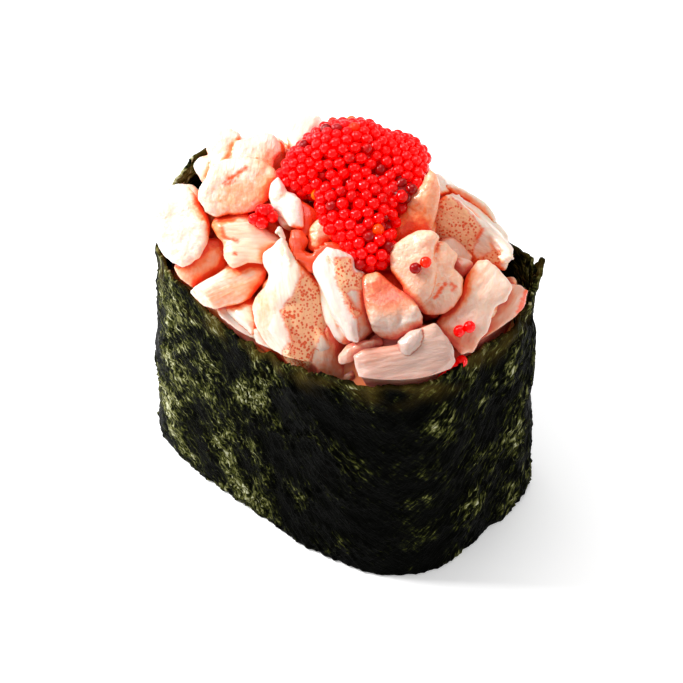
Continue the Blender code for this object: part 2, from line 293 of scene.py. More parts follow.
bpy.ops.mesh.primitive_grid_add(x_subdivisions=strip_columns, y_subdivisions=strip_rows, size=1)
seaweed = bpy.context.object
seaweed.name = seaweed.data.name = "seaweed_strip"
turn = math.tau + strip_lap
girth = 150.0  # length of the wound strip in mm, roughly
drawn = {name: [] for name in ("sheet", "leans_right", "ridge", "thin", "damp")}
for vert in seaweed.data.vertices:
    across_share, up_share = vert.co.x + 0.5, vert.co.y + 0.5
    wound = turn * across_share
    angle = strip_start + wound
    over = ease((wound - math.tau + strip_lap) / strip_lap)
    along = girth * across_share
    top = strip_top(angle) / MM + 0.9 * ease((wound - math.tau) / strip_lap)
    rag = ripple(along / 2.6, 3, 0) * 0.45 + ripple(along / 0.8, 7, 0) * 0.28
    foot = 0.25 + 0.3 * ripple(along / 3.5, 11, 0)
    height = foot + (top + rag - foot) * up_share
    risen = height * MM / strip_height
    radius = strip_outline(angle) / MM - inward_lean(angle) * risen**2 + 0.6 * over
    radius += 1.2 * near(angle, 37, 9) * risen**8
    right = 0.5 + 0.5 * math.cos(angle - math.radians(60))
    right = ease((right - 0.3) / 0.4)
    down = streaks(along, height, -42, 3.2, 0.8, 1) + 0.6 * streaks(along, height, -30, 1.8, 0.5, 2)
    upward = streaks(along, height, 46, 3.2, 0.8, 3) + 0.6 * streaks(along, height, 30, 1.8, 0.5, 4)
    crinkle = (1 - right) * down + right * upward
    swell = ripple(along / 8, height / 8, 5)
    swell += 0.6 * ripple(along / 3, height / 3, 6)
    patch = ripple(along / 6, height / 6, 31)
    ridge = crinkle * (0.8 + 0.9 * patch)
    edge = ease((up_share - 0.86) / 0.14)
    radius += 0.5 * swell + 0.42 * (ridge - 0.7) + edge * 0.5 * ripple(along / 3.2, 0, 21)
    vert.co = Vector((radius * math.cos(angle), radius * math.sin(angle), height)) * MM
    drawn["sheet"].append((along, height, 0))
    drawn["leans_right"].append(right)
    drawn["ridge"].append(ridge)
    # Painted light and shade: the left front of the strip is made lighter and the front corner darker, over
    # its own patches and its paler top edge.
    thin = 0.5 + 0.35 * near(angle, -120, 36) - 0.5 * near(angle, -52, 24)
    drawn["thin"].append(thin + 0.8 * patch + 0.25 * edge)
    drawn["damp"].append(edge * ease(0.5 + 1.5 * ripple(along / 4, height / 3, 41)))
for name, values in drawn.items():
    put_attribute(seaweed, name, values)
select_only(seaweed)
edit_all()
bpy.ops.mesh.normals_make_consistent(inside=False)
bpy.ops.object.mode_set(mode="OBJECT")
middle = seaweed.data.polygons[len(seaweed.data.polygons) // 2]
if middle.normal.dot(middle.center) < 0:
    seaweed.data.flip_normals()
work(seaweed, "SOLIDIFY", thickness=sheet, offset=-1, use_rim=True)
bpy.ops.object.shade_smooth()

nori = bpy.data.materials.new("toasted seaweed")
nodes, links, shader = shader_of(nori)
shader.inputs["Specular IOR Level"].default_value = 0.012
shader.inputs["Roughness"].default_value = 0.4


def from_attribute(name, output="Fac"):
    made = nodes.new("ShaderNodeAttribute")
    made.attribute_name = name
    return made.outputs[output]


def calculate(operation, first, second, third=None):
    """A Math node fed by sockets or plain numbers."""
    made = nodes.new("ShaderNodeMath")
    made.operation = operation
    for socket, value in zip(made.inputs, (first, second, third)):
        if isinstance(value, bpy.types.NodeSocket):
            links.new(value, socket)
        elif value is not None:
            socket.default_value = value
    return made.outputs["Value"]


def strands(tilt, length, width):
    """Felted strands of this size in mm, lying along a tilted direction on the sheet."""
    turned = nodes.new("ShaderNodeMapping")
    turned.vector_type = "TEXTURE"
    turned.inputs["Rotation"].default_value = (0, 0, math.radians(tilt))
    turned.inputs["Scale"].default_value = (length, width, 1)
    links.new(from_attribute("sheet", "Vector"), turned.inputs["Vector"])
    drawn = nodes.new("ShaderNodeTexNoise")
    drawn.inputs["Scale"].default_value = 1
    drawn.inputs["Detail"].default_value = 4
    drawn.inputs["Distortion"].default_value = 0.8
    links.new(turned.outputs["Vector"], drawn.inputs["Vector"])
    return drawn.outputs["Fac"]


def painted_over(factor, below, over):
    """One colour over another, by a factor. The upper one is a socket or plain numbers."""
    made = nodes.new("ShaderNodeMix")
    made.data_type = "RGBA"
    links.new(factor, made.inputs["Factor"])
    links.new(below, made.inputs["A"])
    if isinstance(over, bpy.types.NodeSocket):
        links.new(over, made.inputs["B"])
    else:
        made.inputs["B"].default_value = (*over, 1)
    return made.outputs["Result"]


def bumpy(height, strength, distance):
    made = nodes.new("ShaderNodeBump")
    made.inputs["Strength"].default_value = strength
    made.inputs["Distance"].default_value = distance
    links.new(height, made.inputs["Height"])
    return made.outputs["Normal"]


lie = nodes.new("ShaderNodeMix")
links.new(from_attribute("leans_right"), lie.inputs["Factor"])
links.new(strands(-42, 1.2, 0.34), lie.inputs["A"])
links.new(strands(48, 1.4, 0.34), lie.inputs["B"])
felt = clouds(450, 3)
# Seaweed tone, with painted light on the left front and painted shade at the front corner.
shown = calculate("MULTIPLY_ADD", from_attribute("thin"), 0.2, -0.13)
# Painted highlight and shade: ridge tops are made paler and the valleys between them darker.
shown = calculate("MULTIPLY_ADD", from_attribute("ridge"), 0.1, shown)
shown = calculate("MULTIPLY_ADD", felt, 0.4, shown)
shown = calculate("ADD", lie.outputs["Result"], calculate("ADD", shown, -0.28))
# Seaweed greens from near black; the palest stop is a painted glint.
greens_and_glints = (
    (0.44, (0.0006, 0.0007, 0.0003)),
    (0.53, (0.006, 0.007, 0.002)),
    (0.61, (0.045, 0.05, 0.009)),
    (0.7, (0.2, 0.2, 0.07)),
    (0.8, (0.55, 0.55, 0.36)),
)
soaked = calculate("MULTIPLY", from_attribute("damp"), felt)
links.new(painted_over(soaked, ramp(shown, *greens_and_glints), (0.09, 0.06, 0.01)), shader.inputs["Base Color"])
links.new(bumpy(lie.outputs["Result"], 1, 0.5 * MM), shader.inputs["Normal"])
seaweed.data.materials.append(nori)
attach(seaweed, "root")
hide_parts("seaweed_band")

# --- Crab meat -------------------------------------------------------------------------------------------
# Boiled crab legs, cut across into rough blocks: moist white muscle in long fibres, with the thin orange skin
# still on some sides. The pieces lie on more meat that is packed down inside the seaweed.

voxel = 0.24 * MM
touch = 0.2 * MM  # pieces swell this much, to lie against each other
heap_foot, heap_rise, heap_shift = 33 * MM, 15.5 * MM, 2 * MM
heap_front = np.array((0.472, -0.543, 0.695))  # most cut faces look this way, out over a corner of the roll
level_front = np.array((0.656, -0.755, 0))  # the same way, but level

flesh = bpy.data.materials.new("crab flesh")
nodes, links, shader = shader_of(flesh)
shader.inputs["Roughness"].default_value = 0.38
shader.inputs["Subsurface Weight"].default_value = 0.4
shader.inputs["Subsurface Radius"].default_value = (1.0, 0.32, 0.18)
shader.inputs["Subsurface Scale"].default_value = 2.2 * MM
shader.inputs["Coat Weight"].default_value = 0.4
shader.inputs["Coat Roughness"].default_value = 0.1
thread = nodes.new("ShaderNodeTexNoise")
thread.inputs["Scale"].default_value = 1
thread.inputs["Detail"].default_value = 4
links.new(from_attribute("fibre", "Vector"), thread.inputs["Vector"])
# The flesh runs from white to orange by its own tint and by painted shade in creases and lower down.
orange_with_shade = calculate("MULTIPLY_ADD", clouds(230, 4), 0.25, from_attribute("orange_tint_and_shade"))
orange_with_shade = calculate("MULTIPLY_ADD", thread.outputs["Fac"], 0.34, calculate("ADD", orange_with_shade, -0.17))
oranges = (
    (0.15, (0.85, 0.75, 0.66)),
    (0.35, (0.91, 0.64, 0.49)),
    (0.55, (0.97, 0.45, 0.26)),
    (0.75, (0.97, 0.25, 0.07)),
    (1, (0.84, 0.07, 0.01)),
)
# Painted shade: a grey pink laid over the flesh where it is greyed.
meat = painted_over(from_attribute("grey_shade"), ramp(orange_with_shade, *oranges), (0.42, 0.25, 0.22))
freckles = laid_out("ShaderNodeTexVoronoi", 2500).outputs["Distance"]
freckles = calculate("ADD", freckles, calculate("MULTIPLY_ADD", clouds(600), 0.7, -0.35))
dots = ramp(freckles, (0.3, (0.80, 0.10, 0.02)), (0.47, (0.98, 0.53, 0.29)))
meat = painted_over(from_attribute("skin"), meat, dots)
meat = painted_over(from_attribute("red"), meat, (0.88, 0.1, 0.015))
links.new(meat, shader.inputs["Base Color"])
links.new(bumpy(thread.outputs["Fac"], 0.55, 0.3 * MM), shader.inputs["Normal"])

# The slabs of the blocks whose cut face shows: the block, the slab's thickness in mm, then the outline of its
# cut face.
plates = (
    ("left_end", 6, ((-20.3, -14.7, 40.6), (-21, -13.7, 41.4), (-21.2, -12.7, 42.1), (-20.5, -11.8, 42.7),
    (-19.4, -11.2, 43), (-18.3, -10.2, 43.7), (-17, -10.5, 43.3), (-15.5, -11.1, 42.7), (-14, -11.5, 42.2),
    (-12.9, -12.2, 41.6), (-12.1, -13.5, 40.6), (-11.8, -15.1, 39.3), (-12.4, -16.4, 38.5),
    (-13.2, -17.2, 38), (-14.6, -17.3, 38), (-16.4, -17.2, 38.3), (-17.9, -16.6, 38.9),
    (-19.2, -15.7, 39.7))),
    ("left_under", 5, ((-14.9, -16.3, 36.1), (-13.9, -14.7, 37.1), (-13.1, -12.7, 39.1), (-11.6, -11.3, 39.3),
    (-10.5, -11.3, 37.8), (-10, -12.1, 36.1), (-10.5, -13.3, 34.9), (-11.9, -15, 34.1), (-12.5, -16, 33.5),
    (-13.7, -16.4, 34.3))),
    ("crown", 6, ((-18.9, -5.5, 47.1), (-19.4, -4.4, 47.8), (-19, -3.3, 48.4), (-17.9, -2.3, 48.7),
    (-16.9, -2.1, 48.6), (-16.1, -2.3, 48.3), (-15.9, -3, 47.9), (-14.5, -4.7, 46.6), (-14.7, -6.6, 45.6),
    (-16.3, -7.6, 45.4), (-17.3, -6.2, 46.3))),
    ("crown", 6, ((-15.4, -3.5, 48.8), (-14.7, -2.4, 49), (-14.1, -1.3, 49.2), (-13.4, -0.3, 49.4),
    (-12.4, 0.1, 49.2), (-11.2, -0.3, 48.6), (-10.6, -0.8, 48.2), (-10.6, -2.1, 47.6), (-9.4, -3.7, 46.5),
    (-10.5, -5.8, 46), (-12.6, -6.8, 46.3), (-14.6, -5.4, 47.7))),
    ("crown", 7, ((-15.3, -10.5, 45.7), (-15.4, -8.6, 47.2), (-14.6, -6.7, 48.2), (-12.4, -4.9, 48.6),
    (-10.2, -3.9, 48.3), (-9, -3.9, 47.8), (-8.1, -4.2, 47.2), (-7.8, -5.3, 46.3), (-7.8, -6.6, 45.3),
    (-8.3, -8, 44.5), (-9.5, -9.3, 44), (-11, -10.4, 43.9), (-12, -11.6, 43.4), (-13.4, -11.9, 43.8),
    (-14.8, -11.5, 44.7))),
    ("crown", 4, ((-19.3, -7.4, 45.2), (-19.4, -6.7, 45.6), (-18.9, -6, 45.9), (-17.9, -5.5, 46),
    (-16.8, -6.2, 45.4), (-16.6, -7.4, 44.7), (-16.8, -8.4, 44.1), (-17.7, -8.1, 44.5),
    (-18.6, -7.8, 44.9))),
    ("mid_left", 6, ((-12, -12.2, 42.1), (-12.1, -11.3, 42.6), (-11.1, -10.3, 42.9), (-10.3, -8.8, 43.4),
    (-9.3, -8.6, 43.3), (-7.7, -8.9, 42.8), (-5.9, -8.8, 42.5), (-4.6, -8.7, 42.3), (-3.1, -8.6, 42),
    (-3, -9.7, 41.5), (-3.9, -10.8, 41.1), (-3.4, -11.7, 40.6), (-4.4, -12.3, 40.5), (-5.4, -12.9, 40.4),
    (-6.5, -14.5, 39.9), (-7.9, -14.1, 40.4), (-9.5, -12.7, 41.3), (-10.6, -12.7, 41.6))),
    ("left_log", 5, ((-10.3, -18.7, 35.8), (-9.6, -17.3, 36.5), (-8.7, -15.6, 37.4), (-8, -14.3, 38.1),
    (-6.8, -12.8, 38.7), (-6.4, -11.8, 39.3), (-5.4, -11.3, 39.2), (-4.5, -10.8, 39.1), (-3.8, -11.3, 38.4),
    (-3.6, -12.2, 37.5), (-3.8, -13.2, 36.8), (-3.8, -14.4, 35.9), (-4.5, -15.4, 35.4), (-6.1, -16.8, 35.1),
    (-6.7, -17.6, 34.8), (-8.1, -18.4, 34.9), (-9.4, -18.7, 35.4))),
    ("left_bits", 4, ((-7.5, -16.4, 33.2), (-6.8, -15.6, 33.8), (-5.1, -14.8, 33.9), (-3.4, -14, 34),
    (-2.4, -14.6, 33), (-1, -14.9, 32.1), (-0.4, -16, 30.7), (-1.9, -16.4, 30.9), (-3.2, -17, 30.9),
    (-5, -17, 31.6), (-6.6, -17, 32.3))),
    ("left_bits", 4, ((-0.7, -16.9, 33.8), (0.2, -16.2, 33.9), (1.4, -15.7, 33.6), (2.5, -16.1, 32.3),
    (3.8, -16.4, 31.1), (3.6, -16.9, 30.7), (2, -17.2, 31.5), (0.5, -17.6, 32.2))),
    ("speckled_block", 6, ((-2.9, -12.3, 42.7), (-1.9, -11.4, 43.9), (-1.3, -10.6, 45), (0.3, -11.4, 44.2),
    (2.2, -11.7, 44.1), (3.6, -12.9, 42.8), (4, -14.1, 41.4), (3.1, -15.9, 39), (5.2, -17, 37.9),
    (6.6, -17.8, 37.1), (6.3, -19, 35.6), (4.9, -19.1, 35.4), (2.6, -18.6, 35.7), (0.2, -17.5, 36.7),
    (-1, -16.6, 37.6), (-1.1, -15.7, 38.7), (-0.3, -14.4, 40.5), (-0.7, -13.6, 41.3), (-2.2, -13.1, 41.9))),
    ("speckled_block", 7, ((-0.2, -11.7, 45.9), (0.9, -11.8, 44.6), (2.1, -11.3, 43.6), (3.4, -10.9, 42.5),
    (4.8, -10.8, 41.1), (6.3, -10.8, 39.4), (8, -11, 37.4), (8, -12.5, 36.2), (7.7, -13.9, 35.5),
    (7.9, -15.1, 34.4), (8.5, -16.7, 32.7), (8.2, -17.8, 32.2), (7.1, -18.6, 32.8), (5.9, -19.1, 33.8),
    (5.6, -18.4, 34.7), (5.6, -16.8, 35.8), (4.7, -16.4, 37.1), (3.1, -16, 39.1), (3.4, -13.5, 40.6),
    (2.8, -12.5, 42))),
    ("speckled_foot", 6, ((8.2, -11.3, 37.7), (9.5, -11.3, 35.5), (10.2, -11.5, 34.1), (10.2, -12.1, 33.7),
    (10.8, -12.2, 32.5), (11.7, -12.8, 30.6), (11.2, -14.4, 30.2), (8.7, -17.8, 31.7), (8.5, -16.9, 32.8),
    (8.2, -15.4, 34.6), (8.1, -13, 36.5))),
    ("centre_log", 6, ((4.7, -11.3, 44.5), (4.8, -10.6, 45.3), (5.4, -9.5, 46.5), (6.5, -9.3, 46.7),
    (8.1, -10.5, 45.4), (9.2, -11.8, 44.2), (11.1, -12.5, 43.4), (13.6, -13.6, 42.3), (15.3, -15.1, 40.8),
    (14, -15.4, 40.5), (11.6, -14.5, 41.4), (10.3, -14.1, 41.8), (9.1, -13.4, 42.5), (7.1, -12.5, 43.4),
    (5.3, -11.8, 44))),
    ("centre_log", 7, ((6.6, -10.5, 47.7), (7.4, -9.4, 47.1), (8.6, -8.3, 46.1), (9.4, -9, 45),
    (10.2, -8, 44.3), (11.3, -8.8, 42.8), (12, -9.4, 41.7), (13.8, -10, 39.5), (14.1, -11, 38.8),
    (13.6, -13.5, 38.4), (12.6, -13.2, 39.8), (10.5, -11.9, 42.6), (9.2, -11.8, 44.2), (7.9, -10.7, 46.1))),
    ("pink_block", 7, ((11, -8.8, 44.5), (11.9, -7.4, 44.8), (14, -7.2, 44.1), (16.7, -6.9, 43.2),
    (18.1, -6.8, 42.8), (19.4, -7.6, 42), (18, -8.4, 42.1), (17.4, -10.4, 41.5), (16.4, -11.2, 41.5),
    (15.4, -12.1, 41.5), (14.4, -11.6, 42.1), (12.8, -10.4, 43.2))),
    ("pink_block", 6, ((14.4, -11.3, 41.9), (15.8, -10.6, 41.5), (16.9, -9.8, 41.6), (17.9, -8.3, 42.8),
    (18.6, -7.4, 43.5), (19.4, -7.6, 42.2), (19.7, -8, 41.3), (18.9, -9.3, 40.2), (18, -10.4, 39.4),
    (16.6, -11.4, 39.3), (15.3, -11.8, 40.2))),
    ("right_block", 7, ((11.7, -4.1, 46.5), (12.3, -2.4, 47.5), (13.3, -0.9, 48.3), (14.5, 0, 48.5),
    (15.7, 0.1, 48.1), (15.8, -0.8, 47.3), (16.3, -1.7, 46.5), (18, -3, 44.8), (18.5, -4.9, 43.1),
    (17.9, -6.3, 42.3), (16.1, -6.1, 43.1), (14.2, -5.6, 44.3), (13.2, -5.5, 44.8), (12.3, -4.9, 45.7))),
    ("right_block", 7, ((15.8, -1.8, 45.7), (15.8, 0.3, 47.1), (16.5, 0.8, 46.9), (18.1, 1.1, 45.9),
    (18.3, 0.5, 45.3), (18.4, -0.3, 44.7), (19.7, -0.1, 43.8), (20.5, -1, 42.5), (20.6, -2.5, 41.4),
    (20.1, -4, 40.8), (18.7, -5.5, 40.8), (17.1, -6, 41.7), (16.1, -5.5, 43), (15.7, -3.7, 44.5))),
    ("tall_slab", 6, ((9, 2, 47.6), (8.6, 2.9, 48.9), (9.2, 3.9, 49.7), (9.6, 4.7, 50.2), (9.3, 5.5, 51.4),
    (9.5, 6, 51.7), (10.3, 6.1, 51.3), (11.2, 5.6, 50.2), (11.8, 4.7, 48.9), (12.1, 3.6, 47.4),
    (12.6, 2.4, 45.8), (11.4, 1.4, 45.5), (10.3, 0, 44.6), (9.4, -1.4, 43.5), (8.7, -0.7, 44.8),
    (8.2, 0.3, 46.2))),
    ("speckled_log", 7, ((10.4, 5, 42.8), (10.4, 5.5, 43.9), (10.3, 6.5, 45.7), (10.3, 6.9, 46.5),
    (11.2, 7.9, 47.1), (12.5, 8.4, 46.5), (15.3, 9.2, 44.4), (17.5, 9.8, 42.8), (19.3, 10.1, 41.3),
    (19.7, 9, 38.9), (18.5, 8.4, 39.1), (17, 7.7, 39.7), (16.1, 6.7, 38.9), (15, 6.2, 39.5), (14, 6, 40.3),
    (11.8, 5.1, 41.4))),
    ("speckled_log", 4, ((8.1, 11.6, 42.6), (8.1, 12.4, 42.8), (9.7, 12.2, 42.9), (14.5, 10.9, 43),
    (17.9, 10.1, 43.1), (20.9, 9, 43.1), (21.6, 7.3, 42.8), (21.2, 7.1, 42.7), (18.3, 8.7, 42.8),
    (14.5, 9.9, 42.8), (10.2, 11.1, 42.7))),
    ("right_slab", 6, ((19.5, -4.2, 38.7), (19.7, -2.8, 39.7), (20.4, -0.7, 41), (19.9, 1.7, 43),
    (20, 3.3, 44.1), (20.9, 3.9, 44.2), (22.6, 4, 43.6), (24.1, 3.9, 43), (24.9, 3.7, 42.5),
    (25.1, 2.4, 41.4), (24.4, 1.2, 40.9), (24.5, 0.1, 40), (25.3, -1.3, 38.7), (24.8, -2.4, 38),
    (25.1, -3.8, 36.8), (24.1, -4.6, 36.7), (22.2, -4.4, 37.5), (20.3, -4.6, 38.2))),
    ("right_end", 5, ((22.1, 6.8, 38.9), (23.2, 8, 38.5), (24, 8.5, 37.9), (24.4, 7.4, 36.8),
    (24.7, 5.9, 35.6), (24.7, 4.2, 34.7), (24.6, 3, 34.1), (24, 1.2, 33.8), (23.3, -0.4, 33.6),
    (22.8, -0.5, 34.1), (22.7, 1.6, 35.3), (22, 2.8, 36.8), (22, 4.5, 37.7), (22.4, 5.7, 38))),
    ("front_block", 7, ((15.5, -15.6, 38.4), (16.3, -14.5, 39), (17.9, -12.9, 39.4), (19.2, -11.7, 39.7),
    (20.4, -9.2, 41.3), (21.7, -7.6, 42), (23.3, -7.6, 41.1), (24.8, -7.8, 40), (25.6, -8.4, 38.9),
    (25.5, -9.6, 37.9), (25.1, -10.5, 37.3), (26, -11.5, 35.9), (23.9, -13.2, 35.5), (22.2, -14.5, 35.4),
    (19.7, -16.4, 35.2), (18.4, -16.8, 35.6), (16.9, -16.2, 37))),
    ("right_flap", 3, ((16.4, 2.7, 43.1), (17.3, 3.4, 43), (18.5, 3.8, 42.6), (18.5, 2.9, 42),
    (18.2, 1.8, 41.4), (17.1, 1.8, 42.1))),
    ("front_flake", 2, ((19.2, -11.5, 40.3), (19.9, -10.1, 41.4), (20.9, -9.1, 42), (21.6, -9.7, 41.3),
    (21.6, -10.6, 40.5), (21.1, -11.9, 39.5), (20.2, -12.2, 39.4))),
    ("front_bits", 2.5, ((12.8, -15.7, 36.8), (13.2, -14.3, 37.8), (14.4, -12.9, 38.4), (15.9, -11.3, 38.9),
    (16.5, -11.6, 38.3), (15.6, -12.9, 37.7), (14.6, -14.5, 36.9), (14.2, -15.1, 36.5),
    (13.4, -16.1, 36.1))),
    ("white_bit", 4, ((-7.2, -5.7, 47.9), (-7.1, -4.8, 48.3), (-5.2, -5.6, 47.4), (-3.9, -5.1, 47.2),
    (-2.9, -5.9, 46.5), (-2.9, -7, 46), (-4, -7.8, 45.9), (-5.3, -7.7, 46.3), (-6.4, -7, 47))),
    ("white_bit", 3, ((-4.2, -7.3, 47.4), (-3.6, -6.2, 48.2), (-2.5, -6, 48.1), (-1.2, -6.9, 47),
    (-0, -7.9, 45.8), (-1.7, -8.4, 45.8), (-3.2, -8.1, 46.4))),
    ("red_bit", 3, ((-3.4, -5.1, 46.9), (-2.3, -4.9, 46.5), (-0.7, -4.6, 45.9), (0.1, -4.7, 45.5),
    (-0.3, -6.1, 44.9), (0.1, -7.2, 44.2), (1.1, -8.2, 43.3), (1.3, -9.8, 42.3), (0.1, -10, 42.7),
    (-1.7, -8.3, 44.5), (-0.9, -7.1, 44.7))),
    ("red_skin", 3, ((-0.4, -9.7, 46.3), (0.5, -9, 46.2), (1.7, -9.2, 45.6), (1.9, -10.5, 44.8),
    (3.1, -10, 44.5), (4.2, -8.4, 44.9), (4, -7.5, 45.5), (5.9, -6.5, 45.1), (7, -6.7, 44.5),
    (4.5, -8.2, 44.8), (4.1, -9.6, 44.3), (4.4, -11.3, 43.3), (3.2, -11.3, 43.8), (2, -11.7, 44.1),
    (0.3, -10.7, 45.5))),
    ("peach_bit", 4, ((1.2, -8.4, 45.5), (0.7, -7.4, 46.2), (0.9, -6.4, 46.6), (1.5, -5.4, 46.9),
    (2.8, -5, 46.5), (3.3, -5.8, 45.8), (4.3, -6, 45.3), (3.1, -7.1, 45.2), (3.4, -8.6, 44.3),
    (2, -9.1, 44.7))),
)

# The skin that is still on some faces: the block, then the outline of the skin in mm.
skins = (
    ("speckled_block", ((3.4, -10.9, 42.5), (4.8, -10.8, 41.1), (6.3, -10.8, 39.4), (8, -11, 37.4),
    (8, -12.5, 36.2), (7.7, -13.9, 35.5), (7.9, -15.1, 34.4), (8.5, -16.7, 32.7), (8.2, -17.8, 32.2),
    (7.1, -18.6, 32.8), (5.8, -19.3, 33.7), (5.4, -18.2, 35), (5.6, -16.8, 35.8), (4.7, -16.4, 37.1),
    (3.1, -16.1, 39.1), (3.4, -13.5, 40.6), (3, -12.3, 42))),
    ("centre_log", ((7.3, -10.3, 46.9), (8.6, -8.3, 46.1), (9.4, -9, 44.9), (10.3, -8, 44.3),
    (11.5, -9, 42.4), (10.9, -9.7, 42.9), (10.3, -10.5, 43.4), (10.3, -11.3, 43), (11.3, -11.4, 41.8),
    (12.6, -10.8, 40.6), (12.2, -12, 40.6), (10.6, -12, 42.4), (9.2, -11.8, 44.2), (8.1, -11.2, 45.7))),
    ("speckled_log", ((10.4, 4.9, 42.7), (10.4, 5.5, 43.9), (10.2, 6.5, 45.7), (10.3, 7, 46.5),
    (11.3, 8, 47.3), (12.4, 8.4, 46.5), (14, 8.8, 45.4), (15.9, 9.1, 43.6), (15.9, 8.6, 42.7),
    (15.6, 7.7, 41.3), (15.9, 6.9, 39.6), (15.6, 6.4, 38.9), (15, 6.2, 39.5), (13.6, 5.8, 40.4),
    (11.8, 5.1, 41.4))),
    ("speckled_log", ((17.1, 8.1, 40.4), (17.8, 8.9, 41), (18.9, 9.7, 41), (19.6, 9.6, 40), (18.7, 8.5, 39.2),
    (17.2, 7.6, 39.4))),
)

# Where each block's red edges lie, and its painted shade (warm or grey) and painted light: what is painted,
# then two points and a radius in mm. Everything within the radius of the line between the points is painted.
marks = {
    "crown": (
        ("red", (-14.1, -7.7, 45.1), (-12.5, -5.1, 47), 0.24),
        ("red", (-13.7, -7.7, 45.2), (-12.8, -7.1, 46), 0.32),
        ("warm_shade", (-11.3, -8.4, 44.8), (-8.9, -6, 46), 2.4),
        ("warm_shade", (-10.9, -3.4, 47.9), (-10, -2.8, 46.7), 1.4),
    ),
    "front_block": (
        ("warm_shade", (16.7, -13.8, 38.7), (18.5, -12, 39.5), 1.2),
        ("painted_light", (17.4, -14.6, 34), (21.9, -10.4, 34.9), 1.5),
    ),
    "left_bits": (
        ("grey_shade", (-6, -16.2, 33), (-2, -15.6, 32.3), 2.5),
    ),
    "left_end": (
        ("red", (-17.2, -10.2, 42.9), (-16.1, -10.8, 42.5), 0.28),
        ("warm_shade", (-15.8, -9.8, 41.3), (-14.2, -10.4, 39.2), 1.2),
        ("warm_shade", (-17.9, -14, 33.4), (-13.9, -12.7, 37), 1.2),
    ),
    "left_log": (
        ("red", (-11.8, -15.8, 33.4), (-10.9, -15.9, 31.8), 0.28),
        ("red", (-10.9, -15.9, 31.8), (-8.7, -15.9, 32.5), 0.24),
        ("warm_shade", (-8.3, -16.1, 34.3), (-4.3, -12.5, 37), 1.4),
    ),
    "mid_left": (
        ("red", (-12.2, -10.2, 40.3), (-10.8, -11.5, 40.5), 0.24),
        ("red", (-10.3, -11.6, 40.4), (-8.6, -11.2, 40.7), 0.28),
        ("red", (-8.2, -12.2, 39.4), (-8.4, -10.6, 37.4), 0.24),
        ("red", (-8.2, -8.8, 36.3), (-7.4, -8.2, 36.9), 0.28),
        ("warm_shade", (-12.2, -10.2, 40.5), (-11.9, -11.4, 39.8), 1.5),
    ),
    "pink_block": (
        ("warm_shade", (9.4, -5.4, 42.2), (14.3, -8.7, 43.4), 2.6),
        ("painted_light", (15, -11.6, 40.6), (18.9, -8.4, 41), 1.8),
    ),
    "right_block": (
        ("warm_shade", (11, -1.7, 43.7), (12.5, -3, 40.1), 2.4),
        ("red", (18.7, -3.8, 42.4), (18.5, -1.7, 42.9), 0.26),
        ("red", (18.8, -0.7, 42.6), (19.1, -0.3, 42.1), 0.2),
        ("red", (19.2, -0.4, 42.1), (19.2, -0.9, 41.9), 0.22),
        ("red", (12.1, -3.2, 41.6), (14.2, -4.2, 39.9), 0.16),
        ("red", (14.2, -4.2, 39.9), (15.2, -4.4, 39.8), 0.16),
    ),
    "right_end": (
        ("red", (24, 8.5, 37.9), (24.4, 7.4, 36.8), 0.42),
        ("red", (24.4, 7.4, 36.8), (24.7, 5.9, 35.6), 0.5),
        ("grey_shade", (22.4, 1.5, 34.5), (23.2, 7, 36.5), 3.5),
    ),
    "right_flap": (
        ("grey_shade", (17, 2, 42), (18.5, 2.5, 42), 9),
    ),
    "right_slab": (
        ("warm_shade", (22.7, -3.1, 35.9), (23.4, -2.2, 35.6), 1),
        ("warm_shade", (18.7, 3.2, 41.8), (18.8, -1.7, 40.4), 0.9),
    ),
    "speckled_block": (
        ("red", (7.5, -11.3, 38.2), (7.9, -11.9, 38.2), 0.28),
        ("warm_shade", (-0.8, -15.3, 38), (1.3, -16.5, 34.8), 1.2),
    ),
    "speckled_foot": (
        ("warm_shade", (9.2, -12.2, 34), (12, -13.8, 33.1), 1.6),
    ),
    "speckled_log": (
        ("red", (15.4, 9.4, 42.9), (15.6, 8.3, 42.2), 0.24),
    ),
    "tall_slab": (
        ("warm_shade", (10.6, -0.2, 44.4), (10.4, 1.1, 46.3), 1.8),
    ),
}

# How orange a block is all over, where it isn't as usual: partly its own tint, and for the blocks on the
# right, away from the window, partly painted shade.
usual_warmth_and_shade = 0.12
warmth_and_shade = {
    "left_end": 0.13,
    "crown": 0.17,
    "white_bit": 0.0,
    "centre_log": 0.0,
    "left_under": 0.42,
    "mid_left": 0.28,
    "speckled_foot": 0.3,
    "pink_block": 0.5,
    "right_block": 0.33,
    "tall_slab": 0.46,
    "right_slab": 0.25,
    "right_end": 0.4,
    "right_flap": 0.24,
    "right_under": 0.4,
    "front_block": 0.27,
    "front_bits": 0.3,
    "peach_bit": 0.4,
    "red_bit": 0.85,
    "red_skin": 1.0,
}


def paint(points, kind, block, fade):
    """How strongly each point is painted, from 0 to 1, with an uneven edge this many mm wide."""
    strength = np.zeros(len(points))
    for what, start, end, radius in marks.get(block, ()):
        if what != kind:
            continue
        start, run = np.array(start), np.array(end) - start
        across = run - (run @ heap_front) * heap_front
        offset = points / MM - start
        depth = offset @ heap_front
        offset -= depth[:, None] * heap_front
        share = np.clip(offset @ across / (across @ across), 0, 1)
        away = np.linalg.norm(offset - share[:, None] * across, axis=1)
        away += 9 * (np.abs(depth - share * (run @ heap_front)) > 3.5)
        for i in np.nonzero(away < 2 * radius + fade)[0]:
            spot = Vector(points[i]) / MM
            away[i] -= radius * (0.5 * noise.noise(spot / 0.9) + 0.9 * noise.noise(spot / 0.4))
        strength = np.maximum(strength, np.clip((radius - away) / fade + 0.5, 0, 1))
    return strength


